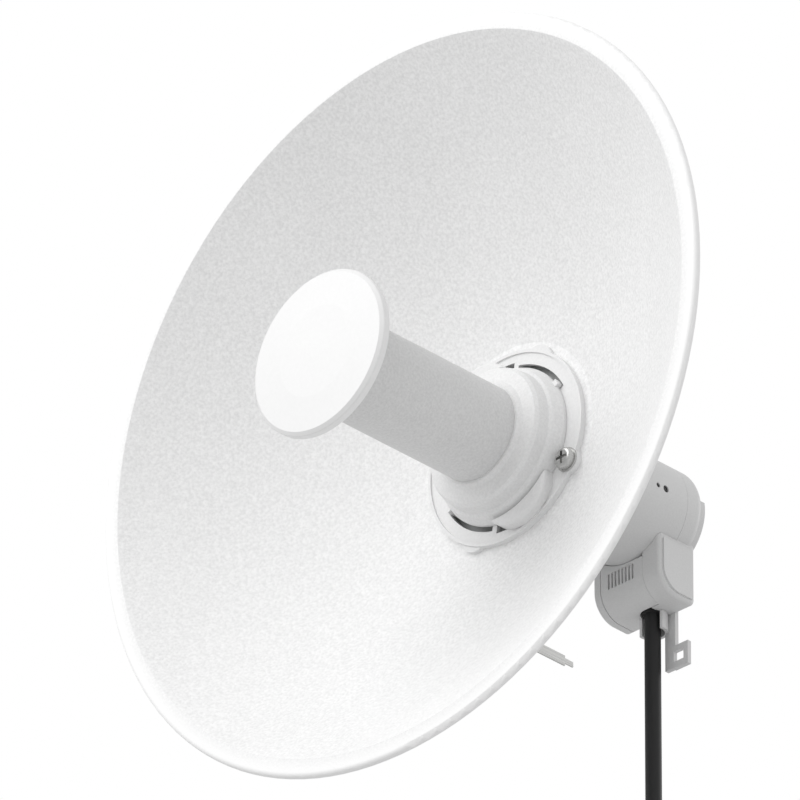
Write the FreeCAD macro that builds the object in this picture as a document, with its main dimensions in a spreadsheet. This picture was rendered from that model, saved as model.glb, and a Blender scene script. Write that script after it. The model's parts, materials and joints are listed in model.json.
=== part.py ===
import FreeCAD, Part
import math
import operator
import os

import Sketcher

# A round dish antenna with a coaxial feed and radio, on a tilting pole bracket.
# Frame: origin on the pole's axis, midway between the two band clamps. +Z up, and the
# antenna looks along -Y. Sizes in millimetres.

DIMENSIONS = {
    # pole clamp
    "pole_radius": 28.0,
    "saddle_half_width": 24.0,
    "saddle_half_height": 34.0,
    "saddle_front": 42.0,
    "band_level": 23.0,
    "band_width": 8.0,
    "band_thickness": 0.7,
    "band_spread": 4.0,
    "tail_end": 61.0,
    "tail_half": 2.4,
    "worm_reach": 4.6,
    # tilt joint
    "pivot_back": 27.0,
    "ear_radius": 27.0,
    "ear_thickness": 5.0,
    "ear_face": 43.4,
    "ear_gap": 0.3,
    "lock_radius": 19.0,
    "bolt_radius": 3.0,
    "bolt_clearance": 0.06,
    "tilt_limit": 20.0,
    "arm_half_height": 24.0,
    "arm_thickness": 8.0,
    # where the antenna's axis lies
    "axis_right": 109.0,
    "axis_front": 63.0,
    # reflector
    "rim_radius": 170.0,
    "bowl_radius": 162.0,
    "bowl_depth": 66.5,
    "bowl_start": 48.0,
    "skin": 1.2,
    "lip_depth": 2.6,
    "lip_bend": 2.0,
    "hub_opening": 39.0,
    # bayonet plate
    "plate_radius": 44.0,
    "plate_half": 1.0,
    "plate_bore": 24.0,
    "plate_screw_circle": 41.3,
    "feed_twist": 42.0,
    # feed
    "tube_radius": 21.4,
    "tube_wall": 1.6,
    "cap_radius": 37.2,
    "cap_front": 115.0,
    "cap_depth": 5.5,
    "collar_front": 18.0,
    "collar_radius": 35.2,
    "spigot_radius": 23.92,
    "hook_radius": 36.8,
    # radio
    "barrel_radius": 24.5,
    "barrel_wall": 2.2,
    "barrel_start": 5.2,
    "barrel_end": 83.8,
    "cover_end": 95.0,
    "wall": 2.0,
    # connector bay below the barrel
    "bay_radius": 12.0,
    "bay_heel": 2.8,
    "bay_front": 73.0,
    "bay_left": 19.8,
    "bay_right": 18.0,
    "bay_seam": 8.3,
    "bay_bottom": 44.0,
    "bay_top": 8.0,
    "seam_gap": 0.1,
    # cable
    "cable_right": 0.0,
    "cable_back": 88.0,
    "cable_radius": 3.5,
    "gland_radius": 4.6,
    "gland_end": 44.3,
    "coil_radius": 40.0,
    "coil_pitch": 7.2,
    "coil_turns": 3.0,
}


class Size:
    """A length that carries the spreadsheet expression it comes from."""

    def __init__(self, value, text):
        self.value = value
        self.text = text

    def __add__(self, other):
        return combined(self, other, "+", operator.add)

    def __radd__(self, other):
        return combined(other, self, "+", operator.add)

    def __sub__(self, other):
        return combined(self, other, "-", operator.sub)

    def __rsub__(self, other):
        return combined(other, self, "-", operator.sub)

    def __mul__(self, other):
        return combined(self, other, "*", operator.mul)

    def __rmul__(self, other):
        return combined(other, self, "*", operator.mul)

    def __neg__(self):
        return combined(0.0, self, "-", operator.sub)


def as_size(number):
    if isinstance(number, Size):
        return number
    return Size(float(number), "(%.6f)" % number)


def combined(left, right, sign, action):
    left = as_size(left)
    right = as_size(right)
    value = action(left.value, right.value)
    return Size(value, "(%s %s %s)" % (left.text, sign, right.text))


def plain(number):
    return number.value if isinstance(number, Size) else float(number)


# Angles about the antenna's axis, in degrees from +X towards +Z.
PLATE_SCREW_ANGLES = (-29.0, 151.0)
COVER_SCREW_ANGLES = (35.0, 145.0, 215.0, 325.0)
SHOULDER_ANGLES = (112.0, -68.0)

doc = FreeCAD.newDocument("wireless_bridge")
sheet = doc.addObject("Spreadsheet::Sheet", "Sizes")


class Sizes:
    """The driving dimensions, each as a Size bound to its cell."""


s = Sizes()
for row, (word, number) in enumerate(DIMENSIONS.items(), 1):
    sheet.set("A%d" % row, word)
    sheet.set("B%d" % row, "%g" % number)
    sheet.setAlias("B%d" % row, word)
    setattr(s, word, Size(number, "Sizes.%s" % word))
doc.recompute()

X = FreeCAD.Vector(1, 0, 0)
Y = FreeCAD.Vector(0, 1, 0)
Z = FreeCAD.Vector(0, 0, 1)
PARTS = []


# ---------------------------------------------------------------- building blocks


def bind(obj, **sizes):
    """Sets each property, and binds it to the sheet where its size comes from there."""
    for name, size in sizes.items():
        setattr(obj, name, plain(size))
        if isinstance(size, Size):
            obj.setExpression(name, size.text)


def place(obj, at, rotation=None):
    """Puts an object at a point whose coordinates may be sizes from the sheet."""
    turned = rotation or FreeCAD.Rotation()
    obj.Placement = FreeCAD.Placement(FreeCAD.Vector(*[plain(c) for c in at]), turned)
    for letter, coordinate in zip("xyz", at):
        if isinstance(coordinate, Size):
            obj.setExpression("Placement.Base.%s" % letter, coordinate.text)
    return obj


def box(name, x, y, z):
    """A block between a low and a high value along each axis."""
    obj = doc.addObject("Part::Box", name)
    bind(obj, Length=as_size(x[1]) - x[0], Width=as_size(y[1]) - y[0], Height=as_size(z[1]) - z[0])
    return place(obj, (x[0], y[0], z[0]))


def cylinder(name, radius, along, start, length, first=None, span=None):
    """A cylinder from a point along an axis. first and span, in degrees, keep a sector of
    one that lies along Y, counted from +X towards +Z."""
    obj = doc.addObject("Part::Cylinder", name)
    bind(obj, Radius=radius, Height=length)
    rotation = FreeCAD.Rotation(Z, along)
    if span is not None:
        obj.Angle = span
        rotation = FreeCAD.Rotation(Y, -(first + span)) * rotation
    return place(obj, start, rotation)


def fused(name, parts):
    obj = doc.addObject("Part::MultiFuse", name)
    obj.Shapes = parts
    return obj


def cut(name, base, tools):
    """The base with every tool taken out of it."""
    obj = doc.addObject("Part::Cut", name)
    obj.Base = base
    obj.Tool = tools[0] if len(tools) == 1 else fused(name + "_tools", tools)
    return obj


def common(name, parts):
    obj = doc.addObject("Part::MultiCommon", name)
    obj.Shapes = parts
    return obj


def grouped(name, parts):
    """Separate solids that share one node."""
    obj = doc.addObject("Part::Compound", name)
    obj.Links = parts
    return obj


def rounded(name, base, radius, wanted):
    """Rounds the edges that the test picks."""
    doc.recompute()
    obj = doc.addObject("Part::Fillet", name)
    obj.Base = base
    edges = enumerate(base.Shape.Edges, 1)
    obj.Edges = [(index, radius, radius) for index, edge in edges if wanted(edge)]
    return obj


def keep(obj, label):
    obj.Label = label
    PARTS.append(obj)
    return obj


def lies_at(edge, axis, value):
    """Whether a whole edge lies in the plane where one coordinate has this value."""
    points = [vertex.Point for vertex in edge.Vertexes] + [edge.CenterOfMass]
    return all(abs(getattr(point, axis) - plain(value)) < 0.02 for point in points)


def origin_plane(body, role):
    return [item for item in body.Origin.OriginFeatures if item.Role == role][0]


def outline_sketch(body, name, role, corners):
    """A closed outline of straight sides, each corner held by its two coordinates."""
    sketch = body.newObject("Sketcher::SketchObject", name)
    sketch.AttachmentSupport = [(origin_plane(body, role), "")]
    sketch.MapMode = "FlatFace"
    points = [FreeCAD.Vector(plain(u), plain(v), 0) for u, v in corners]
    for index, point in enumerate(points):
        sketch.addGeometry(Part.LineSegment(point, points[(index + 1) % len(points)]))
    for index, (u, v) in enumerate(corners):
        before = (index - 1) % len(corners)
        sketch.addConstraint(Sketcher.Constraint("Coincident", before, 2, index, 1))
        for kind, size in (("DistanceX", u), ("DistanceY", v)):
            held = sketch.addConstraint(Sketcher.Constraint(kind, -1, 1, index, 1, plain(size)))
            if isinstance(size, Size):
                sketch.setExpression("Constraints[%d]" % held, size.text)
    return sketch


def turned(name, corners, at):
    """A body of revolution about an axis along Y, from its (radius, y) outline."""
    body = doc.addObject("PartDesign::Body", name)
    sketch = outline_sketch(body, name + "_outline", "XY_Plane", corners)
    spin = body.newObject("PartDesign::Revolution", name + "_turned")
    spin.Profile = sketch
    spin.ReferenceAxis = (sketch, ["V_Axis"])
    spin.Angle = 360.0
    body.Tip = spin
    return place(body, at)


def softened(body, name, radius, wanted):
    """Adds a fillet to a body, on the edges that the test picks in the body's own frame."""
    doc.recompute()
    base = body.Tip
    names = ["Edge%d" % i for i, edge in enumerate(base.Shape.Edges, 1) if wanted(edge)]
    fillet = body.newObject("PartDesign::Fillet", name)
    fillet.Base = (base, names)
    fillet.Radius = radius
    body.Tip = fillet
    return body


def prism(name, role, corners, length, at):
    """A body padded from an outline on one of its origin planes."""
    body = doc.addObject("PartDesign::Body", name)
    sketch = outline_sketch(body, name + "_outline", role, corners)
    pad = body.newObject("PartDesign::Pad", name + "_pad")
    pad.Profile = sketch
    bind(pad, Length=length)
    body.Tip = pad
    return place(body, at)


def hexagon(name, flats, along, start, length):
    obj = doc.addObject("Part::Prism", name)
    obj.Polygon = 6
    bind(obj, Circumradius=flats / math.sqrt(3), Height=length)
    return place(obj, start, FreeCAD.Rotation(Z, along))


AXIS = (s.axis_right, -s.axis_front, Size(0.0, "(0)"))


def ahead(y):
    """A point on the antenna's axis, y behind the bayonet plate's middle."""
    return (s.axis_right, y - s.axis_front, Size(0.0, "(0)"))


def beside(x, y, z):
    """A point given from the bayonet plate's middle."""
    return (s.axis_right + x, as_size(y) - s.axis_front, as_size(z))


def around(radius, degrees, y):
    """A point on a circle about the antenna's axis, from +X towards +Z."""
    angle = math.radians(plain(degrees))
    return beside(radius * math.cos(angle), y, radius * math.sin(angle))


# ---------------------------------------------------------------- reflector


def parabola_piece(inner, outer, shift):
    """The arc of the bowl's parabola between two radii, moved along its axis."""
    slope = (plain(s.bowl_depth) + plain(s.plate_half)) / (
        plain(s.bowl_radius) ** 2 - plain(s.bowl_start) ** 2
    )
    start = plain(s.plate_half) + shift

    def height(radius):
        return start - slope * (radius ** 2 - plain(s.bowl_start) ** 2)

    middle = (inner + outer) / 2
    meeting = height(inner) - 2 * slope * inner * (middle - inner)
    curve = Part.BezierCurve()
    curve.setPoles(
        [
            FreeCAD.Vector(inner, height(inner), 0),
            FreeCAD.Vector(middle, meeting, 0),
            FreeCAD.Vector(outer, height(outer), 0),
        ]
    )
    return curve.toShape()


def reflector():
    skin = plain(s.skin)
    opening = plain(s.hub_opening)
    start = plain(s.bowl_start)
    bowl = plain(s.bowl_radius)
    rim = plain(s.rim_radius)
    bend = plain(s.lip_bend)
    inside = parabola_piece(start, bowl, 0.0)
    outside = parabola_piece(start, bowl, skin)
    front_in = inside.Vertexes[-1].Point
    back_in = outside.Vertexes[-1].Point
    corner = rim - bend
    side_start = front_in.y + bend
    side_end = front_in.y + plain(s.lip_depth)
    front_turn = bend_arc(corner, side_start, bend)
    back_turn = bend_arc(corner, side_start, bend - skin)
    loop = [
        inside.Vertexes[0].Point,
        FreeCAD.Vector(opening, plain(s.plate_half), 0),
        FreeCAD.Vector(opening, plain(s.plate_half) + skin, 0),
        outside.Vertexes[0].Point,
    ]
    edges = [Part.LineSegment(first, last).toShape() for first, last in zip(loop, loop[1:])]
    lip = [
        FreeCAD.Vector(rim, side_start, 0),
        FreeCAD.Vector(rim, side_end, 0),
        FreeCAD.Vector(rim - skin, side_end, 0),
        FreeCAD.Vector(rim - skin, side_start, 0),
    ]
    edges += [Part.LineSegment(first, last).toShape() for first, last in zip(lip, lip[1:])]
    edges.append(Part.LineSegment(front_in, FreeCAD.Vector(corner, front_in.y, 0)).toShape())
    edges.append(Part.LineSegment(back_in, FreeCAD.Vector(corner, front_in.y + skin, 0)).toShape())
    edges += [inside, outside, front_turn, back_turn]
    wire = Part.Wire(Part.__sortEdges__(edges))
    bowl_solid = Part.Face(wire).revolve(FreeCAD.Vector(0, 0, 0), Y, 360)
    for degrees in PLATE_SCREW_ANGLES:
        angle = math.radians(degrees)
        centre = FreeCAD.Vector(math.cos(angle), 0, math.sin(angle)) * plain(s.plate_screw_circle)
        bowl_solid = bowl_solid.cut(Part.makeCylinder(2.1, 10, centre - Y * 5, Y))
    obj = doc.addObject("Part::Feature", "reflector")
    obj.Shape = bowl_solid
    return keep(place(obj, AXIS), "reflector")


def bend_arc(middle, level, radius):
    """The quarter turn of the lip, about a centre at this radius and level."""
    slant = radius * math.sqrt(0.5)
    return Part.Arc(
        FreeCAD.Vector(middle, level - radius, 0),
        FreeCAD.Vector(middle + slant, level - slant, 0),
        FreeCAD.Vector(middle + radius, level, 0),
    ).toShape()


def bayonet_plate():
    """A lobed disc with a raised lip, two shoulders beside the collar, two long slots that
    take the feed's hooks and two short ones."""
    low = -s.plate_half
    thick = s.plate_half * 2
    disc = [cylinder("plate_disc", s.plate_radius, Y, ahead(low), thick)]
    holes = [cylinder("plate_bore_cut", s.plate_bore, Y, ahead(low - 1), thick + 2)]
    for number, angle in enumerate((62.0, -117.0)):
        at = around(s.plate_radius - 6.5, angle, low)
        disc.append(cylinder("plate_lobe%d" % number, 9.0, Y, at, thick))
    for number, angle in enumerate(PLATE_SCREW_ANGLES):
        at = around(s.plate_screw_circle, angle, low - 0.8)
        disc.append(cylinder("plate_boss%d" % number, 5.6, Y, at, thick + 0.8))
        at = around(s.plate_screw_circle, angle, low - 2)
        holes.append(cylinder("plate_screw_cut%d" % number, 2.6, Y, at, thick + 3))
        holes.append(cylinder("plate_washer_room%d" % number, 5.8, Y, at, 1.2))
    lip = 0.7
    ring = cut(
        "plate_lip",
        cylinder("plate_lip_outer", s.plate_radius, Y, ahead(low - lip), lip + 0.5),
        [cylinder("plate_lip_inner", s.plate_radius - 1.4, Y, ahead(low - lip - 1), lip + 3)],
    )
    disc.append(ring)
    long_slot = plain(s.feed_twist) + 9.0
    slots = ((27.0, long_slot, 37.4), (207.0, long_slot, 37.4), (82.0, 15.0, 39.0), (262.0, 15.0, 39.0))
    for number, (first, span, reach) in enumerate(slots):
        outer = cylinder("plate_slot_outer%d" % number, reach, Y, ahead(low - 1), thick + 2, first, span)
        inner = cylinder("plate_slot_inner%d" % number, 34.0, Y, ahead(low - 2), thick + 4)
        holes.append(cut("plate_slot%d" % number, outer, [inner]))
    plate = cut("plate", fused("plate_whole", disc), holes)
    shoulders = [shoulder(number, angle) for number, angle in enumerate(SHOULDER_ANGLES)]
    return keep(fused("plate_with_shoulders", [plate] + shoulders), "bayonet_plate")


def shoulder(number, angle):
    """A raised crescent on the plate that fills the corner beside the collar."""
    height = 6.5
    radius = 18.0
    at = around(25.0, angle, -height)
    puck = cylinder("shoulder_puck%d" % number, radius, Y, at, height - s.plate_half)
    front = -plain(s.axis_front) - height
    puck = rounded("shoulder_edge%d" % number, puck, 1.4, lambda edge: lies_at(edge, "y", front))
    clear = cylinder("shoulder_clear%d" % number, s.collar_radius + 0.4, Y, ahead(-height - 1), height + 1)
    return cut("shoulder%d" % number, puck, [clear])


def pan_screw(name, at, along, head_radius, head_height, shank_radius, shank_length):
    """A pan head screw with a cross recess; its head stands at the start, against along."""
    back = FreeCAD.Vector(along) * -1
    head = cylinder(name + "_head", head_radius, back, at, head_height)
    soft = head_height * 0.55
    head = rounded(name + "_dome", head, soft, lambda edge: top_ring(edge, back, at, head_height))
    shank = cylinder(name + "_shank", shank_radius, along, at, shank_length)
    whole = fused(name + "_whole", [head, shank])
    return cut(name, whole, cross_recess(name, at, back, head_height, head_radius))


def top_ring(edge, direction, at, height):
    base = FreeCAD.Vector(*[plain(c) for c in at])
    return abs((edge.CenterOfMass - base).dot(direction) - height) < 0.02 and edge.isClosed()


def cross_recess(name, at, direction, height, head_radius):
    """Two crossed slots in a screw's head."""
    half = head_radius * 0.62
    width = head_radius * 0.13
    depth = height * 0.55
    point = FreeCAD.Vector(*[plain(c) for c in at])
    slots = []
    for number, (long_half, wide_half) in enumerate(((half, width), (width, half))):
        slot = doc.addObject("Part::Box", "%s_slot%d" % (name, number))
        slot.Length = 2 * long_half
        slot.Width = 2 * wide_half
        slot.Height = height
        rotation = FreeCAD.Rotation(Z, direction)
        corner = rotation.multVec(FreeCAD.Vector(-long_half, -wide_half, height - depth))
        slot.Placement = FreeCAD.Placement(point + corner, rotation)
        slots.append(slot)
    return slots


def plate_screws():
    """The screw on the right locks the feed, and moves on its own; its twin holds the plate."""
    washers = []
    for label, angle in zip(("feed_lock_screw", "plate_screw"), PLATE_SCREW_ANGLES):
        at = around(s.plate_screw_circle, angle, -s.plate_half - 1.6)
        keep(pan_screw(label, at, Y, 4.8, 3.0, 2.0, 12.0), label)
        ring = cylinder(label + "_washer_disc", 5.4, Y, at, 0.8)
        hole = cylinder(label + "_washer_hole", 2.1, Y, around(s.plate_screw_circle, angle, -4), 4)
        washers.append(cut(label + "_washer", ring, [hole]))
    keep(grouped("plate_washers", washers), "plate_washers")


# ---------------------------------------------------------------- feed


def feed():
    front = -s.cap_front
    back = -s.cap_front + s.cap_depth
    inner = s.tube_radius - s.tube_wall
    cap = turned(
        "feed_cap",
        [
            (0.0, front),
            (3.0, front),
            (s.cap_radius * 0.55, front + 0.3),
            (s.cap_radius - 1.6, front + 1.2),
            (s.cap_radius, front + 2.6),
            (s.cap_radius, back),
            (s.cap_radius - 1.8, back),
            (s.cap_radius - 1.8, front + 3.2),
            (0.0, front + 2.2),
        ],
        AXIS,
    )
    softened(cap, "feed_cap_edge", 0.9, lambda edge: near_ring(edge, s.cap_radius, front + 2.6))
    keep(cap, "feed_cap")
    keep(
        turned(
            "cap_back",
            [
                (s.tube_radius + 0.02, back - 1.6),
                (s.cap_radius - 1.85, back - 1.6),
                (s.cap_radius - 1.85, back - 0.1),
                (s.tube_radius + 4.0, back - 0.1),
                (s.tube_radius + 1.4, back + 2.4),
                (s.tube_radius + 0.02, back + 2.4),
            ],
            AXIS,
        ),
        "cap_back",
    )
    keep(
        turned(
            "subreflector",
            [
                (0.0, front + 2.4),
                (8.0, front + 2.9),
                (s.cap_radius - 2.4, front + 3.4),
                (s.cap_radius - 2.4, front + 3.8),
                (8.0, front + 3.8),
                (0.0, front + 5.4),
            ],
            AXIS,
        ),
        "subreflector",
    )
    keep(
        turned(
            "feed_tube",
            [
                (inner, back - 1.55),
                (s.tube_radius, back - 1.55),
                (s.tube_radius, s.plate_half + 2.4),
                (inner, s.plate_half + 2.4),
            ],
            AXIS,
        ),
        "feed_tube",
    )
    keep(
        turned(
            "waveguide",
            [
                (14.0, -84.0),
                (15.5, -84.0),
                (15.5, -20.0),
                (19.6, -20.0),
                (19.6, -17.0),
                (15.5, -17.0),
                (15.5, 3.0),
                (14.0, 3.0),
            ],
            AXIS,
        ),
        "waveguide",
    )
    keep(
        turned(
            "dielectric_cone",
            [
                (0.0, front + 5.8),
                (9.0, front + 5.8),
                (18.6, back + 1.6),
                (18.6, back + 4.6),
                (13.8, -84.2),
                (13.8, -70.0),
                (9.0, -66.0),
                (0.0, -62.0),
            ],
            AXIS,
        ),
        "dielectric_cone",
    )


def near_ring(edge, radius, level):
    """Whether an edge is a circle about the Y axis of this radius at this level."""
    point = edge.Vertexes[0].Point
    return abs(math.hypot(point.x, point.z) - plain(radius)) < 0.05 and lies_at(edge, "y", level)


def feed_collar():
    """The stepped collar that seats on the plate, with two hooks that reach through the long slots."""
    seat = -s.plate_half - 0.1
    foot = s.plate_half + 2.4
    shell = turned(
        "collar_shell",
        [
            (s.tube_radius + 0.02, -s.collar_front),
            (s.tube_radius + 1.2, -s.collar_front),
            (s.tube_radius + 3.0, -s.collar_front + 1.6),
            (s.collar_radius - 5.2, -s.collar_front + 3.0),
            (s.collar_radius - 4.0, -s.collar_front + 4.6),
            (s.collar_radius - 3.4, -8.4),
            (s.collar_radius - 2.0, -7.4),
            (s.collar_radius, seat - 1.6),
            (s.collar_radius, seat),
            (31.1, seat),
            (31.1, seat - 1.6),
            (28.9, seat - 1.6),
            (28.9, seat),
            (s.spigot_radius, seat),
            (s.spigot_radius, foot),
            (s.tube_radius + 0.02, foot),
        ],
        AXIS,
    )
    softened(
        shell,
        "collar_steps",
        0.8,
        lambda edge: near_ring(edge, s.collar_radius - 4.0, -s.collar_front + 4.6)
        or near_ring(edge, s.collar_radius, seat - 1.6)
        or near_ring(edge, s.collar_radius - 2.0, -7.4),
    )
    pieces = [shell]
    for number, first in enumerate((28.0, 208.0)):
        pieces.append(hook(number, first, seat, foot))
    keep(fused("feed_collar_whole", pieces), "feed_collar")
    ring = turned(
        "collar_seal",
        [(29.0, seat - 1.5), (31.0, seat - 1.5), (31.0, seat + 0.05), (29.0, seat + 0.05)],
        AXIS,
    )
    keep(ring, "collar_seal")


def hook(number, first, seat, foot):
    """One bayonet hook: a post through the plate's slot and a foot that turns behind the plate."""
    base = seat - 2.4
    reach = s.hook_radius
    post_outer = cylinder("hook_post_outer%d" % number, reach, Y, ahead(base), foot - base, first, 5.0)
    post_inner = cylinder("hook_post_inner%d" % number, 34.3, Y, ahead(seat - 3), foot - seat + 4)
    tie_outer = cylinder("hook_tie_outer%d" % number, 35.0, Y, ahead(base), 2.4, first, 5.0)
    tie_inner = cylinder("hook_tie_inner%d" % number, 33.0, Y, ahead(seat - 3), 4)
    sole = s.plate_half + 0.3
    thick = foot - sole
    foot_outer = cylinder("hook_foot_outer%d" % number, reach, Y, ahead(sole), thick, first - 7, 12.0)
    foot_inner = cylinder("hook_foot_inner%d" % number, 34.3, Y, ahead(sole - 1), foot - sole + 2)
    return fused(
        "hook%d" % number,
        [
            cut("hook_post%d" % number, post_outer, [post_inner]),
            cut("hook_tie%d" % number, tie_outer, [tie_inner]),
            cut("hook_foot%d" % number, foot_outer, [foot_inner]),
        ],
    )


# ---------------------------------------------------------------- radio


def barrel():
    inner = s.barrel_radius - s.barrel_wall
    shell = turned(
        "barrel_shell",
        [
            (16.0, s.barrel_start),
            (s.barrel_radius, s.barrel_start),
            (s.barrel_radius, s.barrel_end),
            (inner, s.barrel_end),
            (inner, s.barrel_start + 3.0),
            (16.0, s.barrel_start + 3.0),
        ],
        AXIS,
    )
    cuts = [box("jack_notch", *local_box((-9.0, 9.0), (79.0, 85.0), (-30.0, -12.0)))]
    lenses = []
    for number, (back, radius) in enumerate(((65.9, 1.1), (70.6, 1.6))):
        at = beside(s.barrel_radius - 4.0, back, 0.0)
        cuts.append(cylinder("led_hole%d" % number, radius, X, at, 6.0))
        at = beside(s.barrel_radius - 4.4, back, 0.0)
        lenses.append(cylinder("led_lens%d" % number, radius - 0.05, X, at, 3.8))
    keep(cut("radio_barrel_cut", shell, cuts), "radio_barrel")
    keep(grouped("led_lenses", lenses), "led_lenses")


def local_box(x, y, z):
    """Box limits given from the bayonet plate's middle, as limits in the part's frame."""
    return (
        (s.axis_right + x[0], s.axis_right + x[1]),
        (as_size(y[0]) - s.axis_front, as_size(y[1]) - s.axis_front),
        z,
    )


def bay_block(name, left, right, shrink):
    """The connector bay between two planes: upright in front, with a large round under it."""
    front = s.bay_front + shrink
    back = s.cover_end - shrink
    low = -(s.bay_bottom - shrink)
    block = box(name + "_block", *local_box((left, right), (front, back), (low, -s.bay_top)))
    front_line = front - s.axis_front
    back_line = back - s.axis_front
    block = rounded(
        name + "_nose",
        block,
        plain(s.bay_radius - shrink),
        lambda edge: lies_at(edge, "z", low) and lies_at(edge, "y", front_line),
    )
    return rounded(
        name + "_heel",
        block,
        max(plain(s.bay_heel - shrink), 0.5),
        lambda edge: lies_at(edge, "z", low) and lies_at(edge, "y", back_line),
    )


def seal_ring(name, slack):
    """The ring that seals the cap to the barrel's end, or with no slack the groove it lies in."""
    inner = s.barrel_radius - 1.7 + slack
    outer = s.barrel_radius - 0.6 - slack
    start = s.barrel_end
    end = s.barrel_end + 1.4 - slack
    return turned(name, [(inner, start), (outer, start), (outer, end), (inner, end)], AXIS)


def rear_cover():
    """The barrel's rear cap, in one moulding with the right-hand part of the bay."""
    start = s.barrel_end + s.seam_gap
    inner = s.barrel_radius - s.barrel_wall
    cap = turned(
        "cover_cap",
        [(0.0, start), (s.barrel_radius, start), (s.barrel_radius, s.cover_end), (0.0, s.cover_end)],
        AXIS,
    )
    softened(cap, "cover_cap_edge", 5.0, lambda edge: near_ring(edge, s.barrel_radius, s.cover_end))
    disc = cylinder("cover_back_disc", s.barrel_radius - 0.6, Y, ahead(s.cover_end - 6.0), 6.0)
    lower_room = box("cover_back_room", *local_box((-30.0, 30.0), (80.0, 100.0), (-30.0, 3.4)))
    back_plate = common("cover_back_plate", [disc, lower_room])
    half = bay_block("cover_half", s.bay_seam + s.seam_gap, s.bay_right, 0.0)
    right_end = s.axis_right + s.bay_right
    half = rounded("cover_half_edge", half, 1.8, lambda edge: lies_at(edge, "x", right_end))
    clear = cylinder("cover_clear", s.barrel_radius + 0.15, Y, ahead(0.0), start)
    half = cut("cover_half_clear", half, [clear])
    panel = bay_block("cover_panel", s.bay_right - 0.5, s.bay_right + 0.8, 2.2)
    panel_limit = cylinder("cover_panel_limit", s.barrel_radius + 2.0, Y, ahead(60.0), 40.0)
    panel = cut("cover_panel_clear", panel, [panel_limit])
    tongue_side = s.gland_radius + 0.25
    tongue = box(
        "cover_tongue",
        *local_box(
            (4.0, s.bay_seam + 1.0),
            (s.cable_back - tongue_side, s.cable_back + tongue_side),
            (-s.bay_bottom + 0.1, -s.bay_bottom + s.wall),
        )
    )
    hollow = cylinder("cover_hollow", inner, Y, ahead(start - 1.0), s.cover_end - s.wall - start + 1.0)
    room = bay_block("cover_room", s.bay_seam - 3.0, s.bay_right - s.wall, s.wall)
    room_limit = cylinder("cover_room_limit", s.barrel_radius + 1.6, Y, ahead(40.0), s.barrel_end - 40.0)
    floor = -s.bay_bottom + s.wall
    tongue_limit = box("cover_tongue_limit", *local_box((-20.0, 40.0), (60.0, 100.0), (-50.0, floor)))
    room = cut("cover_room_clear", room, [room_limit, tongue_limit])
    jack_room = box("cover_jack_room", *local_box((-8.6, 9.0), (79.0, 93.2), (-30.0, -12.0)))
    at = beside(s.cable_right, s.cable_back, -34.0)
    outlet = cylinder("cover_outlet", s.gland_radius + 0.2, -Z, at, 14.0)
    whole = fused("cover_whole", [cap, back_plate, half, panel, tongue])
    shell = cut("cover_shell", whole, [hollow, room, jack_room, outlet, seal_ring("cover_seal_groove", 0.0)])
    posts = []
    holes = []
    screws = []
    circle = 16.5
    for number, angle in enumerate(COVER_SCREW_ANGLES):
        seat = around(circle, angle, s.cover_end - 1.6)
        foot = around(circle, angle, s.cover_end - 9.0)
        posts.append(cylinder("cover_post%d" % number, 3.0, Y, foot, 8.0))
        holes.append(cylinder("cover_counterbore%d" % number, 2.9, Y, seat, 4.0))
        holes.append(cylinder("cover_screw_hole%d" % number, 1.45, Y, foot, 10.0))
        screws.append(pan_screw("cover_screw%d" % number, seat, -Y, 2.7, 1.5, 1.4, 6.0))
    keep(cut("rear_cover_cut", fused("cover_with_posts", [shell] + posts), holes), "rear_cover")
    keep(grouped("cover_screws", screws), "cover_screws")


def vented_cover():
    """The left part of the bay slides off along -X; eight louvre slots let it breathe."""
    body = bay_block("vent_block", -s.bay_left, s.bay_seam, 0.0)
    left_end = s.axis_right - s.bay_left
    body = rounded("vent_edge", body, 1.2, lambda edge: lies_at(edge, "x", left_end))
    room = bay_block("vent_room", -s.bay_left + s.wall, s.bay_seam + 1.0, s.wall)
    roof = barrel_room("vent_roof", 2.2)
    tools = [barrel_room("vent_clear", 0.3), cut("vent_room_clear", room, [roof])]
    side = s.gland_radius + 0.6
    at = beside(s.cable_right, s.cable_back, -34.0)
    tools.append(cylinder("vent_outlet", side, -Z, at, 14.0))
    across = (s.cable_right, s.bay_seam + 1.0)
    sides = (s.cable_back - side, s.cable_back + side)
    tools.append(box("vent_outlet_slot", *local_box(across, sides, (-48.0, -34.0))))
    tools.append(box("vent_jack_room", *local_box((-8.6, 9.0), (80.4, 93.4), (-30.0, -7.0))))
    face = s.bay_front
    for number in range(8):
        left = -11.5 + 1.95 * number
        across = (left, left + 1.05)
        shallow = (face - 1.0, face + 1.0)
        through = (face, face + 3.0)
        tools.append(box("louvre_groove%d" % number, *local_box(across, shallow, (-33.5, -26.2))))
        tools.append(box("louvre_mouth%d" % number, *local_box(across, through, (-32.5, -29.5))))
    bezel_outer = bay_block("bezel_outer", -s.bay_left + 3.9, -s.bay_left + 4.3, -1.0)
    bezel_inner = bay_block("bezel_inner", -s.bay_left + 3.0, -s.bay_left + 5.0, 0.45)
    tools.append(cut("bezel_line", bezel_outer, [bezel_inner]))
    keep(cut("vented_cover_cut", body, tools), "vented_cover")


def barrel_room(name, slack):
    """The barrel with some slack round it, and a flat below it that leaves the way along -X free."""
    radius = s.barrel_radius + slack
    drum = cylinder(name + "_drum", radius, Y, ahead(60.0), 40.0)
    across = (0.0, s.bay_seam + 2.0)
    flat = box(name + "_flat", *local_box(across, (60.0, 100.0), (-radius, -s.bay_top + 1.0)))
    return fused(name, [drum, flat])


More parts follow.
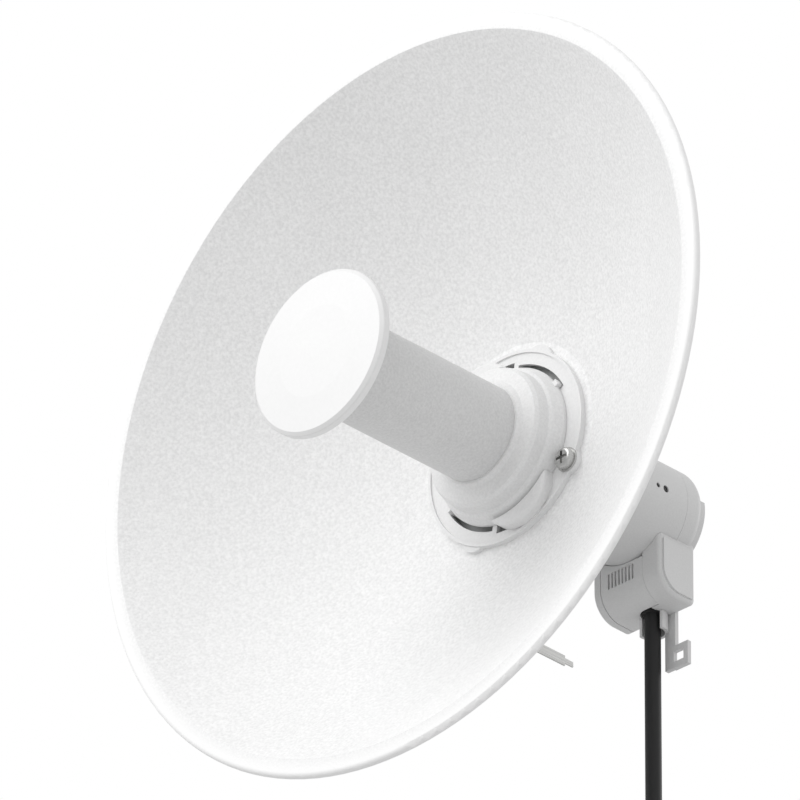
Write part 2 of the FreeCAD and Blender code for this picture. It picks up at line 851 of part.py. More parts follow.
def cable_guide():
    """A U-shaped skirt behind the cable's outlet and a tongue with a tie-wrap eye."""
    top = -s.bay_bottom + 3.2
    low = -s.bay_bottom - 8.5
    at = beside(s.cable_right, s.cable_back, top)
    ring = cylinder("skirt_ring", s.gland_radius + 2.0, -Z, at, top - low)
    above = beside(s.cable_right, s.cable_back, top + 1)
    hole = cylinder("skirt_hole", s.gland_radius + 0.6, -Z, above, top - low + 2)
    front = box("skirt_front", *local_box((-10.0, 20.0), (70.0, s.cable_back - 1.0), (-70.0, -30.0)))
    skirt = cut("skirt", ring, [hole, front])
    tongue = box("tongue", *local_box((2.6, 8.4), (92.8, 94.8), (-70.0, -38.0)))
    eye = box("eye_block", *local_box((7.0, 15.5), (92.8, 94.8), (-70.4, -59.6)))
    eye_hole = box("eye_hole", *local_box((7.5, 13.0), (90.0, 97.0), (-67.2, -62.2)))
    whole = fused("guide_whole", [skirt, tongue, eye])
    inside_bay = bay_block("guide_trim", -s.bay_left, s.bay_right + 1.0, -0.05)
    keep(cut("cable_guide_cut", whole, [eye_hole, inside_bay]), "cable_guide")


def electronics():
    """What the radio holds: board, shield, heat spreader, socket, seals and vent."""
    board = box("board_plate", *local_box((-20.0, 20.0), (12.0, 82.0), (-4.6, -3.0)))
    keep(board, "main_board")
    can = box("shield_outer", *local_box((-13.0, 13.0), (22.0, 58.0), (-3.0, 2.4)))
    can_room = box("shield_room", *local_box((-12.4, 12.4), (22.6, 57.4), (-4.0, 1.8)))
    keep(cut("rf_shield_cut", can, [can_room]), "rf_shield")
    spreader = box("spreader_block", *local_box((-12.0, 12.0), (24.0, 56.0), (2.5, 16.0)))
    ducts = []
    for number in range(5):
        left = -9.6 + 4.2 * number
        across = (left, left + 2.2)
        ducts.append(box("spreader_duct%d" % number, *local_box(across, (23.0, 57.0), (6.0, 17.0))))
    keep(cut("heat_spreader_cut", spreader, ducts), "heat_spreader")
    jack = box("jack_block", *local_box((-8.0, 8.0), (81.0, 92.7), (-26.8, -13.0)))
    jack_hole = box("jack_hole", *local_box((-5.9, 5.9), (83.8, 91.8), (-28.0, -15.0)))
    keep(cut("ethernet_jack_cut", jack, [jack_hole]), "ethernet_jack")
    plug = box("plug_block", *local_box((-5.7, 5.7), (84.0, 91.6), (-33.0, -18.0)))
    keep(plug, "inner_plug")
    seal = seal_ring("barrel_seal_ring", 0.05)
    gap = box("barrel_seal_gap", *local_box((-9.5, 9.5), (70.0, 100.0), (-30.0, -12.0)))
    keep(cut("barrel_seal_cut", seal, [gap]), "barrel_seal")
    membrane = cylinder("membrane_disc", 4.0, X, beside(-17.7, 84.0, -30.0), 0.5)
    keep(membrane, "vent_membrane")


def gland():
    """The split rubber gland that seals the cable into the bay's outlet."""
    top = beside(s.cable_right, s.cable_back, -38.0)
    sleeve = cylinder("gland_sleeve", s.gland_radius, -Z, top, s.gland_end - 38.0)
    keep(sleeve, "cable_gland")


# ---------------------------------------------------------------- cable


def route_tube(name, points, radius):
    """A tube of straight runs joined by tangent arcs, each as large as its runs allow."""
    points = [FreeCAD.Vector(*p) for p in points]
    edges = []
    here = points[0]
    for before, corner, after in zip(points, points[1:], points[2:]):
        arriving = (corner - before).normalize()
        leaving = (after - corner).normalize()
        turn = arriving.getAngle(leaving)
        shorter = min((corner - before).Length, (after - corner).Length)
        bend = 0.45 * shorter / math.tan(turn / 2)
        print("%s: turn %.1f degrees, radius %.1f mm" % (name, math.degrees(turn), bend))
        first = corner - arriving * (0.45 * shorter)
        last = corner + leaving * (0.45 * shorter)
        inward = (leaving - arriving).normalize()
        centre = corner + inward * (bend / math.cos(turn / 2))
        edges.append(Part.LineSegment(here, first).toShape())
        edges.append(Part.Arc(first, centre - inward * bend, last).toShape())
        here = last
    edges.append(Part.LineSegment(here, points[-1]).toShape())
    path = Part.Wire(edges)
    across = Part.makeCircle(radius, points[0], points[1] - points[0])
    tube = path.makePipeShell([Part.Wire(across)], True, False)
    expected = math.pi * radius ** 2 * path.Length
    print("%s: length %.1f mm, volume %.0f of %.0f mm3" % (name, path.Length, tube.Volume, expected))
    obj = doc.addObject("Part::Feature", name)
    obj.Shape = tube
    return keep(obj, name)


def coil_middle():
    """The centre of the hanging coil, in the part's frame."""
    return (
        plain(s.axis_right) - 14.0,
        plain(s.cable_back) - plain(s.axis_front) + 4.0,
        -209.6,
    )


def cable():
    right = plain(s.axis_right) + plain(s.cable_right)
    back = plain(s.cable_back) - plain(s.axis_front)
    middle_x, middle_y, middle_z = coil_middle()
    pitch = plain(s.coil_pitch)
    ring = plain(s.coil_radius)
    spread = pitch * plain(s.coil_turns) / 2
    first_turn = middle_y - spread
    last_turn = middle_y + spread
    lead = [
        (right, back, -plain(s.gland_end)),
        (right, back, -146.0),
        (right + 6.0, back - 2.0, -168.0),
        (middle_x + 33.0, first_turn, -187.0),
    ]
    route_tube("cable_lead", lead, plain(s.cable_radius))
    tail = [
        (middle_x + ring, last_turn, middle_z),
        (middle_x + ring + 1.2, last_turn, middle_z - 17.0),
        (middle_x + ring + 1.2, last_turn, middle_z - 33.0),
    ]
    route_tube("cable_tail", tail, plain(s.cable_radius))
    half = spread + plain(s.cable_radius)
    near = (middle_x, middle_y - half, middle_z)
    outer = cylinder("coil_outer", s.coil_radius + s.cable_radius, Y, near, 2 * half)
    nearer = (middle_x, middle_y - half - 1, middle_z)
    inner = cylinder("coil_inner", s.coil_radius - s.cable_radius, Y, nearer, 2 * half + 2)
    coil = cut("coil_ring", outer, [inner])
    keep(rounded("cable_coil", coil, 3.0, lambda edge: edge.isClosed()), "cable_coil")
    ties = []
    for number, angle in enumerate((100.0, 225.0)):
        ties.append(coil_tie(number, angle, half))
    keep(grouped("coil_ties", ties), "coil_ties")
    plug_at = (tail[-1][0], tail[-1][1], tail[-1][2])
    boot = cylinder("end_boot", 5.0, -Z, plug_at, 11.0)
    keep(rounded("end_boot_round", boot, 1.2, lambda edge: edge.isClosed()), "plug_boot")
    plug = box(
        "end_plug_block",
        (plug_at[0] - 5.85, plug_at[0] + 5.85),
        (plug_at[1] - 4.0, plug_at[1] + 4.0),
        (plug_at[2] - 11.0 - 19.0, plug_at[2] - 11.0),
    )
    keep(rounded("end_plug_round", plug, 0.6, lambda edge: True), "end_plug")


def coil_tie(number, angle, half):
    """A strap round the coil's section."""
    middle_x, middle_y, middle_z = coil_middle()
    thick = 1.0
    reach = plain(s.coil_radius)
    depth = plain(s.cable_radius)
    strap = box(
        "tie_outer%d" % number,
        (reach - depth - thick, reach + depth + thick),
        (-half - thick, half + thick),
        (-2.4, 2.4),
    )
    slack = 0.15
    room = box(
        "tie_room%d" % number,
        (reach - depth - slack, reach + depth + slack),
        (-half - slack, half + slack),
        (-4, 4),
    )
    tie = cut("tie%d" % number, strap, [room])
    rotation = FreeCAD.Rotation(Y, -angle)
    tie.Placement = FreeCAD.Placement(FreeCAD.Vector(middle_x, middle_y, middle_z), rotation)
    return tie


# ---------------------------------------------------------------- pole clamp


def stadium(name, radius, low, height):
    """Two half circles 'band_spread' apart, the rear one on the pole's axis."""
    rear = cylinder(name + "_rear", radius, Z, (0, 0, low), height)
    front = cylinder(name + "_front", radius, Z, (0, -s.band_spread, low), height)
    link = box(name + "_link", (-radius, radius), (-s.band_spread, 0), (low, as_size(low) + height))
    return fused(name, [rear, front, link])


def pole_bracket():
    half = s.saddle_half_height
    wide = s.saddle_half_width
    block = box("saddle_block", (-wide, wide), (-s.saddle_front, -12.0), (-half, half))
    block = rounded(
        "saddle_round",
        block,
        4.0,
        lambda edge: lies_at(edge, "y", -s.saddle_front) and abs(edge.tangentAt(edge.FirstParameter).z) > 0.9,
    )
    web = box("bracket_web", (wide - 4, s.ear_face - 2), (-s.saddle_front, -34.0), (-half + 6, half - 6))
    ear = cylinder(
        "bracket_ear", s.ear_radius, X, (s.ear_face - s.ear_thickness, -s.pivot_back, 0), s.ear_thickness
    )
    tools = [cylinder("pole_cut", s.pole_radius, Z, (0, 0, -60), 120)]
    for number, side in enumerate((-1, 1)):
        low = side * s.band_level - s.band_width * 0.5 - 0.3
        seat = cylinder(
            "groove_seat%d" % number, s.pole_radius - 0.05, Z, (0, -s.band_spread, low - 1), s.band_width + 3
        )
        slab = box(
            "groove_slab%d" % number,
            (-s.saddle_half_width - 2, s.saddle_half_width + 2),
            (-s.saddle_front - 2, -4.0),
            (low, low + s.band_width + 0.6),
        )
        tools.append(cut("groove%d" % number, slab, [seat]))
    for number, level in enumerate((0.0, s.lock_radius)):
        at = (s.ear_face - 20, -s.pivot_back, level)
        tools.append(cylinder("ear_hole%d" % number, s.bolt_radius + s.bolt_clearance, X, at, 30))
    relief = box("web_relief", (wide + 1, s.ear_face - s.ear_thickness), (-34.0, 0.0), (-40.0, 40.0))
    whole = fused("bracket_whole", [block, web, ear])
    keep(cut("pole_bracket_cut", whole, tools + [relief]), "pole_bracket")


def tilt_bracket():
    """The hub ring behind the reflector, an arm to its left and the ear with the curved slot."""
    back = s.plate_half + s.skin
    hub = turned(
        "hub_ring",
        [
            (s.barrel_radius + 0.1, s.barrel_start),
            (s.hub_opening + 0.3, s.barrel_start),
            (s.hub_opening + 0.3, back),
            (50.0, back),
            (50.0, back + 6.0),
            (33.0, back + 10.0),
            (31.0, back + 18.0),
            (s.barrel_radius + 0.1, back + 18.0),
        ],
        AXIS,
    )
    near = s.ear_face + s.ear_gap
    front = back - s.axis_front
    high = (-s.arm_half_height, s.arm_half_height)
    arm = box("tilt_arm", (near, s.axis_right - 36.0), (front, front + s.arm_thickness), high)
    ear = cylinder("tilt_ear", s.ear_radius + 1.0, X, (near, -s.pivot_back, 0), s.ear_thickness)
    link = box("tilt_link", (near, near + s.ear_thickness), (front, -s.pivot_back), high)
    ribs = []
    for number, level in enumerate((-14.0, 14.0)):
        ribs.append(
            prism(
                "tilt_rib%d" % number,
                "XY_Plane",
                [
                    (near + 1.0, front + 1.0),
                    (s.axis_right - 40.0, front + 1.0),
                    (s.axis_right - 40.0, front + s.arm_thickness),
                    (near + 14.0, front + s.arm_thickness + 2.0),
                    (near + s.ear_thickness, -s.pivot_back - 17.0),
                    (near + 1.0, -s.pivot_back - 17.0),
                ],
                4.0,
                (0, 0, level - 2.0),
            )
        )
    whole = fused("tilt_whole", [hub, arm, ear, link] + ribs)
    at = (near - 1, -s.pivot_back, 0)
    tools = [cylinder("tilt_pivot_hole", s.bolt_radius + s.bolt_clearance, X, at, 20)]
    tools += slot_cutters(near)
    tools.append(cylinder("hub_clear", s.barrel_radius + 0.1, Y, ahead(-5), 60))
    for number, angle in enumerate(PLATE_SCREW_ANGLES):
        at = around(s.plate_screw_circle, angle, 0)
        tools.append(cylinder("hub_screw%d" % number, 2.06, Y, at, 14.0))
    earth = (near + 16.0, front + s.arm_thickness, 0.0)
    tools.append(cylinder("ground_hole", 2.0, -Y, earth, 6.0))
    keep(cut("tilt_bracket_cut", whole, tools), "tilt_bracket")
    keep(pan_screw("ground_screw", earth, -Y, 4.8, 3.0, 1.95, 5.5), "ground_screw")


def slot_cutters(near):
    """The curved slot for the lock bolt: a ring sector about the pivot, with round ends."""
    half_width = s.bolt_radius + 0.3
    swing = plain(s.tilt_limit)
    thick = s.ear_thickness + 4
    start = (near - 2, -s.pivot_back, 0)
    outer = doc.addObject("Part::Cylinder", "slot_outer")
    bind(outer, Radius=s.lock_radius + half_width, Height=thick)
    outer.Angle = 2 * swing
    rotation = FreeCAD.Rotation(X, 90 - swing) * FreeCAD.Rotation(Y, Z, X, "ZXY")
    place(outer, start, rotation)
    inner = cylinder("slot_inner", s.lock_radius - half_width, X, (near - 3, -s.pivot_back, 0), thick + 2)
    cutters = [cut("slot_sector", outer, [inner])]
    for number, side in enumerate((-1, 1)):
        angle = math.radians(side * swing)
        at = (
            near - 2,
            s.lock_radius * math.sin(angle) - s.pivot_back,
            s.lock_radius * math.cos(angle),
        )
        cutters.append(cylinder("slot_end%d" % number, half_width, X, at, thick))
    return cutters


def tilt_bolts():
    """A pivot bolt and a lock bolt along X, with washers, nuts and a winged lock nut."""
    outside = s.ear_face + s.ear_gap + s.ear_thickness
    inside = s.ear_face - s.ear_thickness
    washers = []
    for label, level in (("pivot_bolt", 0.0), ("lock_bolt", s.lock_radius)):
        at = (outside + 1.25, -s.pivot_back, level)
        head = hexagon(label + "_head", 10.0, X, at, 4.0)
        shank_start = (inside - 9.0, -s.pivot_back, level)
        shank = cylinder(label + "_shank", s.bolt_radius, X, shank_start, outside + 1.3 - inside + 9.0)
        keep(fused(label + "_whole", [head, shank]), label)
        for side, face in (("out", outside + 0.05), ("in", inside - 1.2)):
            ring = cylinder("%s_washer_%s" % (label, side), 6.2, X, (face, -s.pivot_back, level), 1.2)
            at = (face - 1, -s.pivot_back, level)
            hole = cylinder("%s_washer_hole_%s" % (label, side), s.bolt_radius + 0.05, X, at, 3.2)
            washers.append(cut("%s_ring_%s" % (label, side), ring, [hole]))
    keep(grouped("tilt_washers", washers), "tilt_washers")
    for label, level in (("pivot_nut", 0.0), ("lock_nut", s.lock_radius)):
        at = (inside - 1.25, -s.pivot_back, level)
        nut = hexagon(label + "_hex", 10.0, -X, at, 5.0)
        hole = cylinder(label + "_hole", s.bolt_radius + 0.05, -X, (inside, -s.pivot_back, level), 12.0)
        keep(cut(label + "_cut", nut, [hole]), label)


def band_clamp(word, side):
    """One worm-drive band: the band, its housing and its screw."""
    level = side * s.band_level
    low = level - s.band_width * 0.5
    outer = stadium(word + "_outer", s.pole_radius + s.band_thickness, low, s.band_width)
    inner = stadium(word + "_inner", s.pole_radius, low - 1, s.band_width + 2)
    loop = cut(word + "_loop", outer, [inner])
    face = s.pole_radius + s.band_thickness
    tail = box(
        word + "_tail",
        (face + 0.1, face + s.band_thickness + 0.1),
        (-9.0, s.tail_end - 5.0),
        (level - s.tail_half, level + s.tail_half),
    )
    tip = box(
        word + "_tip",
        (face + 0.1, face + s.band_thickness + 0.1),
        (s.tail_end - 6.0, s.tail_end),
        (level - 1.2, level + 1.2),
    )
    slots = []
    for number in range(5):
        back = 20.0 + 3.6 * number
        slots.append(
            box(
                "%s_thread%d" % (word, number),
                (face - 1, face + 3),
                (back, back + 1.5),
                (level + 0.6, level + s.band_width),
            )
        )
    strap = cut(word + "_strap", fused(word + "_strap_whole", [tail, tip]), slots)
    high = (level - s.tail_half, level + s.tail_half)
    root = box(word + "_root", (face - 0.2, face + 0.4), (-9.0, -4.0), high)
    keep(fused(word + "_band", [loop, strap, root]), "band_%s" % word)
    housing_x = (face + s.band_thickness + 0.1, face + 8.8)
    housing_y = (-9.0, 7.0)
    housing = box(word + "_housing_block", housing_x, housing_y, (level - 6.0, level + 6.0))
    housing = rounded(
        word + "_housing_round",
        housing,
        2.4,
        lambda edge: lies_at(edge, "x", housing_x[1]) and abs(edge.tangentAt(edge.FirstParameter).y) > 0.9,
    )
    worm_x = face + s.worm_reach
    bore = cylinder(word + "_worm_room", 3.36, Y, (worm_x, -12.0, level), 22.0)
    keep(cut(word + "_housing", housing, [bore]), "worm_housing_%s" % word)
    worm = cylinder(word + "_worm", 3.3, Y, (worm_x, -9.0, level), 17.0)
    head = hexagon(word + "_head", 7.0, -Y, (worm_x, -9.1, level), 4.6)
    neck = cylinder(word + "_neck", 2.4, -Y, (worm_x, -8.0, level), 2.0)
    slot = box(word + "_slot", (worm_x - 5, worm_x + 5), (-14.5, -12.4), (level - 0.6, level + 0.6))
    screw = fused(word + "_screw_whole", [worm, neck, head])
    keep(cut(word + "_screw", screw, [slot]), "worm_screw_%s" % word)


# ---------------------------------------------------------------- whole


def build():
    reflector()
    bayonet_plate()
    plate_screws()
    feed()
    feed_collar()
    barrel()
    rear_cover()
    vented_cover()
    cable_guide()
    electronics()
    gland()
    cable()
    pole_bracket()
    tilt_bracket()
    tilt_bolts()
    band_clamp("upper", 1)
    band_clamp("lower", -1)


def check_and_write():
    doc.recompute()
    for obj in doc.Objects:
        if "Invalid" in obj.State or "Error" in obj.State:
            raise RuntimeError("%s did not build: %s" % (obj.Label, obj.State))
    os.makedirs("parts", exist_ok=True)
    for obj in PARTS:
        shape = obj.Shape
        if shape.isNull() or not shape.isValid() or not shape.Solids:
            raise RuntimeError("%s has no valid solid" % obj.Label)
        shape.exportStep("parts/%s.step" % obj.Label)
    print("%d nodes written" % len(PARTS))


build()
check_and_write()
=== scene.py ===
import json
import math

import bpy
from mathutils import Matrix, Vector


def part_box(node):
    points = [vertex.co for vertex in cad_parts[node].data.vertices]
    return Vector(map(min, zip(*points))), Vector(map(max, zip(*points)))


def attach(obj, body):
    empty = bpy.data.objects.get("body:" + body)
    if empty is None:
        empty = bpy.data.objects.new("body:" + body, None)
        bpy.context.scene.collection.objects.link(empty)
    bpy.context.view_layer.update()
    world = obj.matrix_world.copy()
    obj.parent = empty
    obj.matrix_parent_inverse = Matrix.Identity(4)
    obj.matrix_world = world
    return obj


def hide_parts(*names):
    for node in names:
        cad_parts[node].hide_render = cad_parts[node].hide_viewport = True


MM = 0.001

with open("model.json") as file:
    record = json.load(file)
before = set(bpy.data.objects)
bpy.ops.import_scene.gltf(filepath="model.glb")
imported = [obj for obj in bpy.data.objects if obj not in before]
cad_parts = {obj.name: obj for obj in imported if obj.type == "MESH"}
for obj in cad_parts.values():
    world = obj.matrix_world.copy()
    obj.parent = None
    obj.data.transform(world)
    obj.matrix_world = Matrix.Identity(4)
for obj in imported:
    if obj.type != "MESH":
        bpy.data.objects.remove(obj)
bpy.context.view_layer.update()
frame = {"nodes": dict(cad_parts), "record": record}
SCENE = bpy.context.scene


def middle(node):
    low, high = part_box(node)
    return (low + high) / 2


# The antenna's axis runs along Y through the middle of the reflector.
AXIS_X = middle("reflector").x
AXIS_Z = middle("reflector").z
PLATE_Y = middle("bayonet_plate").y


# ---------------------------------------------------------------- camera


CAMERA_AZIMUTH = 43.8
CAMERA_ELEVATION = -29.5
VIEW_WIDTH = 333.0 * MM
LENS = 1000.0
SENSOR = 36.0
TARGET_LEFT = 42.7
TARGET_UP = 19.4


def camera():
    """A long lens below and to the right of the dish, so that parallel edges stay parallel."""
    azimuth = math.radians(CAMERA_AZIMUTH)
    elevation = math.radians(CAMERA_ELEVATION)
    distance = VIEW_WIDTH * LENS / SENSOR
    back = Vector(
        (
            math.sin(azimuth) * math.cos(elevation),
            -math.cos(azimuth) * math.cos(elevation),
            math.sin(elevation),
        )
    )
    right = Vector((math.cos(azimuth), math.sin(azimuth), 0.0))
    up = back.cross(right)
    plate = Vector((AXIS_X, PLATE_Y, AXIS_Z))
    target = plate - right * TARGET_LEFT * MM + up * TARGET_UP * MM
    data = bpy.data.cameras.new("camera")
    data.lens = LENS
    data.sensor_width = SENSOR
    data.clip_start = 0.1
    data.clip_end = 200.0
    obj = bpy.data.objects.new("camera", data)
    SCENE.collection.objects.link(obj)
    obj.location = target + back * distance
    obj.rotation_mode = "QUATERNION"
    obj.rotation_quaternion = (-back).to_track_quat("-Z", "Y")
    SCENE.camera = obj


# ---------------------------------------------------------------- cable


CABLE_RADIUS = 3.5 * MM
GLAND_BACK = 25.0 * MM
COIL_LOW, COIL_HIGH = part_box("cable_coil")
COIL_MIDDLE = (COIL_LOW + COIL_HIGH) / 2
COIL_RADIUS = (COIL_HIGH.x - COIL_LOW.x) / 2 - CABLE_RADIUS
COIL_HALF_DEPTH = (COIL_HIGH.y - COIL_LOW.y) / 2 - CABLE_RADIUS
COIL_START = math.radians(34.4)
COIL_TURNS = 3
POINTS_PER_TURN = 18


def lead_points():
    """The straight drop from the gland and the bend into the coil."""
    right = AXIS_X
    back = GLAND_BACK
    first_turn = COIL_MIDDLE.y - COIL_HALF_DEPTH
    return [
        Vector((right, back, -44.3 * MM)),
        Vector((right, back, -123.0 * MM)),
        Vector((right, back, -146.0 * MM)),
        Vector((right + 6.0 * MM, back - 2.0 * MM, -168.0 * MM)),
        Vector((COIL_MIDDLE.x + 33.0 * MM, first_turn, -187.0 * MM)),
    ]


def coil_points():
    """Neat turns side by side, wound clockwise as seen from the front, down to the last quarter."""
    sweep = COIL_START + 2 * math.pi * COIL_TURNS
    steps = int(POINTS_PER_TURN * sweep / (2 * math.pi))
    half_step = sweep / steps / 2
    radius = COIL_RADIUS * 2 / (1 + math.cos(half_step))
    points = []
    for step in range(1, steps):
        share = step / steps
        angle = COIL_START - sweep * share
        depth = COIL_MIDDLE.y + COIL_HALF_DEPTH * (2 * share - 1)
        across = COIL_MIDDLE.x + radius * math.cos(angle)
        points.append(Vector((across, depth, COIL_MIDDLE.z + radius * math.sin(angle))))
    return points


def tail_points():
    side = COIL_MIDDLE.x + COIL_RADIUS
    depth = COIL_MIDDLE.y + COIL_HALF_DEPTH
    return [
        Vector((side + 0.4 * MM, depth, COIL_MIDDLE.z - 4.0 * MM)),
        Vector((side + 1.2 * MM, depth, COIL_MIDDLE.z - 17.0 * MM)),
        Vector((side + 1.2 * MM, depth, COIL_MIDDLE.z - 33.0 * MM)),
    ]


def cable_curve():
    points = lead_points() + coil_points() + tail_points()
    curve = bpy.data.curves.new("network_cable", "CURVE")
    curve.dimensions = "3D"
    spline = curve.splines.new("NURBS")
    spline.points.add(len(points) - 1)
    # The radius is on the points and the bevel is 1 deep, because a curve's bounds grow by the points' radius.
    for spot, point in zip(spline.points, points):
        spot.co = (*point, 1.0)
        spot.radius = CABLE_RADIUS
    spline.order_u = 3
    spline.use_endpoint_u = True
    spline.resolution_u = 8
    curve.bevel_depth = 1.0
    curve.bevel_resolution = 6
    curve.use_fill_caps = True
    obj = bpy.data.objects.new("network_cable", curve)
    SCENE.collection.objects.link(obj)
    return obj


# ---------------------------------------------------------------- materials


FLANGE_INNER = 0.1605
FLANGE_OUTER = 0.1665


def nodes_of(name):
    material = bpy.data.materials.new(name)
    material.use_nodes = True
    tree = material.node_tree
    shader = tree.nodes["Principled BSDF"]
    return material, tree, shader


def object_noise(tree, scale, detail):
    place = tree.nodes.new("ShaderNodeTexCoord")
    noise = tree.nodes.new("ShaderNodeTexNoise")
    noise.inputs["Scale"].default_value = scale
    noise.inputs["Detail"].default_value = detail
    noise.inputs["Roughness"].default_value = 0.6
    tree.links.new(place.outputs["Object"], noise.inputs["Vector"])
    return noise


def scaled(color, factor):
    return tuple(min(1.0, c * factor) for c in color)


def ramp(tree, source, low, high, first, last):
    """A ramp from one colour to another between two values of the source."""
    node = tree.nodes.new("ShaderNodeValToRGB")
    node.color_ramp.elements[0].position = low
    node.color_ramp.elements[1].position = high
    node.color_ramp.elements[0].color = (*first, 1.0)
    node.color_ramp.elements[1].color = (*last, 1.0)
    tree.links.new(source, node.inputs["Fac"])
    return node


def bumped(tree, shader, noise, strength, distance):
    """Gives the surface the relief of a noise."""
    bump = tree.nodes.new("ShaderNodeBump")
    bump.inputs["Strength"].default_value = strength
    bump.inputs["Distance"].default_value = distance
    tree.links.new(noise.outputs["Fac"], bump.inputs["Height"])
    tree.links.new(bump.outputs["Normal"], shader.inputs["Normal"])


def moulded(name, color, rough, grain, grain_depth, speckle):
    """A matt surface with a fine grain, faint cloudy tone and uneven gloss."""
    material, tree, shader = nodes_of(name)
    fine = object_noise(tree, grain, 2.0)
    cloud = object_noise(tree, 14.0, 4.0)
    tone = ramp(tree, fine.outputs["Fac"], 0.3, 0.7, scaled(color, 1 - speckle), scaled(color, 1 + speckle))
    wash = ramp(tree, cloud.outputs["Fac"], 0.3, 0.7, (0.97, 0.97, 0.97), (1.0, 1.0, 1.0))
    mix = tree.nodes.new("ShaderNodeMix")
    mix.data_type = "RGBA"
    mix.blend_type = "MULTIPLY"
    mix.inputs["Factor"].default_value = 1.0
    tree.links.new(tone.outputs["Color"], mix.inputs["A"])
    tree.links.new(wash.outputs["Color"], mix.inputs["B"])
    tree.links.new(mix.outputs["Result"], shader.inputs["Base Color"])
    gloss = tree.nodes.new("ShaderNodeMapRange")
    gloss.inputs["To Min"].default_value = rough - 0.06
    gloss.inputs["To Max"].default_value = rough + 0.06
    tree.links.new(cloud.outputs["Fac"], gloss.inputs["Value"])
    tree.links.new(gloss.outputs["Result"], shader.inputs["Roughness"])
    bumped(tree, shader, fine, 0.35, grain_depth)
    return material


def flange_white(tree, shader, color, inner, outer):
    """Whitens the rolled flange, outside a radius about the reflector's axis."""
    place = tree.nodes.new("ShaderNodeTexCoord")
    flat = tree.nodes.new("ShaderNodeVectorMath")
    flat.operation = "MULTIPLY"
    flat.inputs[1].default_value = (1.0, 0.0, 1.0)
    centred = tree.nodes.new("ShaderNodeVectorMath")
    centred.operation = "SUBTRACT"
    centred.inputs[1].default_value = (AXIS_X, 0.0, AXIS_Z)
    distance = tree.nodes.new("ShaderNodeVectorMath")
    distance.operation = "LENGTH"
    span = tree.nodes.new("ShaderNodeMapRange")
    span.inputs["From Min"].default_value = inner
    span.inputs["From Max"].default_value = outer
    tree.links.new(place.outputs["Object"], flat.inputs[0])
    tree.links.new(flat.outputs["Vector"], centred.inputs[0])
    tree.links.new(centred.outputs["Vector"], distance.inputs[0])
    tree.links.new(distance.outputs["Value"], span.inputs["Value"])
    mix = tree.nodes.new("ShaderNodeMix")
    mix.data_type = "RGBA"
    before = shader.inputs["Base Color"].links[0].from_socket
    tree.links.new(span.outputs["Result"], mix.inputs["Factor"])
    tree.links.new(before, mix.inputs["A"])
    mix.inputs["B"].default_value = (*color, 1.0)
    tree.links.new(mix.outputs["Result"], shader.inputs["Base Color"])


def powder_coat():
    """Light grey textured coat, whiter on the rolled flange."""
    material = moulded("powder_coat", (0.83, 0.83, 0.83), 0.55, 750.0, 0.0003, 0.085)
    tree = material.node_tree
    flange_white(tree, tree.nodes["Principled BSDF"], (0.9, 0.9, 0.9), FLANGE_INNER, FLANGE_OUTER)
    return material


def brushed(name, color, rough, stretch):
    """Metal with fine lines along one axis."""
    material, tree, shader = nodes_of(name)
    place = tree.nodes.new("ShaderNodeTexCoord")
    squeeze = tree.nodes.new("ShaderNodeMapping")
    squeeze.inputs["Scale"].default_value = stretch
    noise = tree.nodes.new("ShaderNodeTexNoise")
    noise.inputs["Scale"].default_value = 900.0
    noise.inputs["Detail"].default_value = 3.0
    tree.links.new(place.outputs["Object"], squeeze.inputs["Vector"])
    tree.links.new(squeeze.outputs["Vector"], noise.inputs["Vector"])
    tone = ramp(tree, noise.outputs["Fac"], 0.3, 0.7, scaled(color, 0.88), color)
    tree.links.new(tone.outputs["Color"], shader.inputs["Base Color"])
    gloss = tree.nodes.new("ShaderNodeMapRange")
    gloss.inputs["To Min"].default_value = rough - 0.08
    gloss.inputs["To Max"].default_value = rough + 0.1
    tree.links.new(noise.outputs["Fac"], gloss.inputs["Value"])
    tree.links.new(gloss.outputs["Result"], shader.inputs["Roughness"])
    shader.inputs["Metallic"].default_value = 1.0
    bumped(tree, shader, noise, 0.15, 0.00003)
    return material


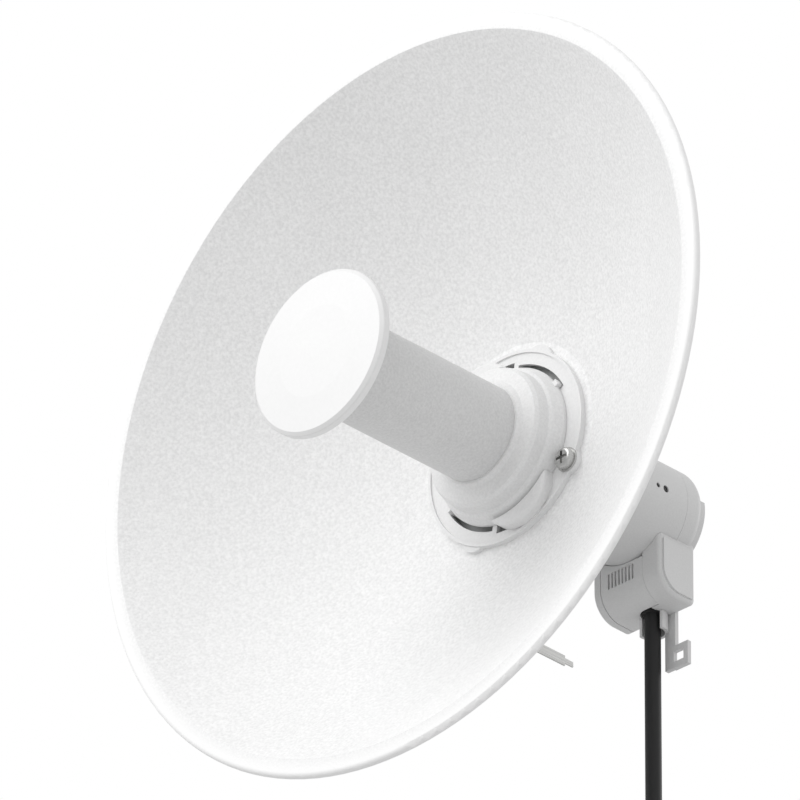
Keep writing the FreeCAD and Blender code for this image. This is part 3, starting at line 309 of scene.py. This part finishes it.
def materials():
    """One material for each of the record's slots."""
    return {
        "white_powder_coat": powder_coat(),
        "white_plastic": moulded("white_plastic", (0.76, 0.76, 0.76), 0.5, 900.0, 0.0002, 0.05),
        "cap_plastic": moulded("cap_plastic", (0.82, 0.82, 0.82), 0.38, 600.0, 0.00004, 0.01),
        "housing_plastic": moulded("housing_plastic", (0.66, 0.66, 0.66), 0.52, 1300.0, 0.00012, 0.03),
        "plate_coat": moulded("plate_coat", (0.76, 0.76, 0.76), 0.5, 800.0, 0.00012, 0.03),
        "cast_bracket": moulded("cast_bracket", (0.55, 0.56, 0.56), 0.45, 500.0, 0.0003, 0.05),
        "stainless": brushed("stainless", (0.56, 0.56, 0.55), 0.28, (0.03, 0.03, 2.0)),
        "zinc_steel": brushed("zinc_steel", (0.6, 0.59, 0.56), 0.35, (0.2, 1.0, 1.0)),
        "bare_aluminium": brushed("bare_aluminium", (0.75, 0.75, 0.76), 0.3, (1.0, 0.05, 1.0)),
        "ptfe": moulded("ptfe", (0.85, 0.85, 0.84), 0.4, 300.0, 0.00005, 0.01),
        "black_rubber": moulded("black_rubber", (0.02, 0.02, 0.02), 0.65, 900.0, 0.0001, 0.2),
        "cable_jacket": moulded("cable_jacket", (0.005, 0.005, 0.0055), 0.6, 1500.0, 0.00001, 0.1),
        "board": moulded("board", (0.03, 0.17, 0.07), 0.35, 400.0, 0.00003, 0.15),
        "tinned_steel": brushed("tinned_steel", (0.66, 0.67, 0.68), 0.3, (1.0, 1.0, 1.0)),
        "black_plastic": moulded("black_plastic", (0.02, 0.02, 0.02), 0.45, 1200.0, 0.0001, 0.2),
        "clear_plastic": moulded("smoked_lens", (0.02, 0.02, 0.02), 0.15, 200.0, 0.00001, 0.1),
        "plug_plastic": moulded("plug_plastic", (0.55, 0.58, 0.6), 0.15, 200.0, 0.00001, 0.04),
        "membrane": moulded("membrane", (0.85, 0.85, 0.85), 0.9, 2500.0, 0.0002, 0.05),
    }


def dress(palette):
    """Gives every CAD node the material of its slot, and the feed tube a darker copy of the white plastic as
    painted shade.
    """
    for entry in frame["record"]["subparts"]:
        node = frame["nodes"][entry["node"]]
        node.data.materials.clear()
        node.data.materials.append(palette[entry["material_slot"]])
    tube = frame["nodes"]["feed_tube"]
    # Painted shade: the feed tube gets a darker grey copy of the white plastic, standing in for the shade that
    # falls on the tube beside the cap.
    tube.material_slots[0].material = moulded("tube_plastic_painted_shade", (0.64, 0.64, 0.64), 0.5, 900.0, 0.0003, 0.07)


# ---------------------------------------------------------------- stage


def area_light(name, location, target, size, power):
    data = bpy.data.lights.new(name, "AREA")
    data.shape = "DISK"
    data.size = size
    data.energy = power
    obj = bpy.data.objects.new(name, data)
    SCENE.collection.objects.link(obj)
    obj.location = location
    obj.rotation_mode = "QUATERNION"
    obj.rotation_quaternion = (target - location).to_track_quat("-Z", "Y")


def stage():
    """A pale floor well below the pole's fitting height, an even white surround and soft lights."""
    bpy.ops.mesh.primitive_plane_add(size=120.0, location=(0.0, 0.0, -5.6))
    floor = bpy.context.object
    floor.name = "floor"
    floor.data.materials.append(moulded("floor_paint", (0.8, 0.8, 0.8), 0.8, 2.0, 0.001, 0.01))
    world = bpy.data.worlds.new("surround")
    SCENE.world = world
    world.use_nodes = True
    tree = world.node_tree
    seen = tree.nodes.new("ShaderNodeBackground")
    seen.inputs["Color"].default_value = (1.0, 1.0, 1.0, 1.0)
    lighting = tree.nodes["Background"]
    lighting.inputs["Color"].default_value = (1.0, 1.0, 1.0, 1.0)
    lighting.inputs["Strength"].default_value = 0.77
    path = tree.nodes.new("ShaderNodeLightPath")
    mix = tree.nodes.new("ShaderNodeMixShader")
    tree.links.new(path.outputs["Is Camera Ray"], mix.inputs["Fac"])
    tree.links.new(lighting.outputs["Background"], mix.inputs[1])
    tree.links.new(seen.outputs["Background"], mix.inputs[2])
    tree.links.new(mix.outputs["Shader"], tree.nodes["World Output"].inputs["Surface"])
    centre = Vector((AXIS_X, PLATE_Y, AXIS_Z))
    area_light("key", centre + Vector((-0.7, -2.2, 1.7)), centre, 3.0, 51.0)
    area_light("low_fill", centre + Vector((1.6, -1.4, -1.0)), centre, 2.0, 1.5)
    area_light("rear", centre + Vector((0.6, 2.2, 0.8)), centre, 1.6, 10.0)
    SCENE.view_settings.view_transform = "Standard"
    SCENE.view_settings.look = "None"


# ---------------------------------------------------------------- whole


def main():
    camera()
    cable = cable_curve()
    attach(cable, "antenna")
    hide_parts("cable_lead", "cable_coil", "cable_tail")
    palette = materials()
    dress(palette)
    cable.data.materials.append(palette["cable_jacket"])
    stage()


main()
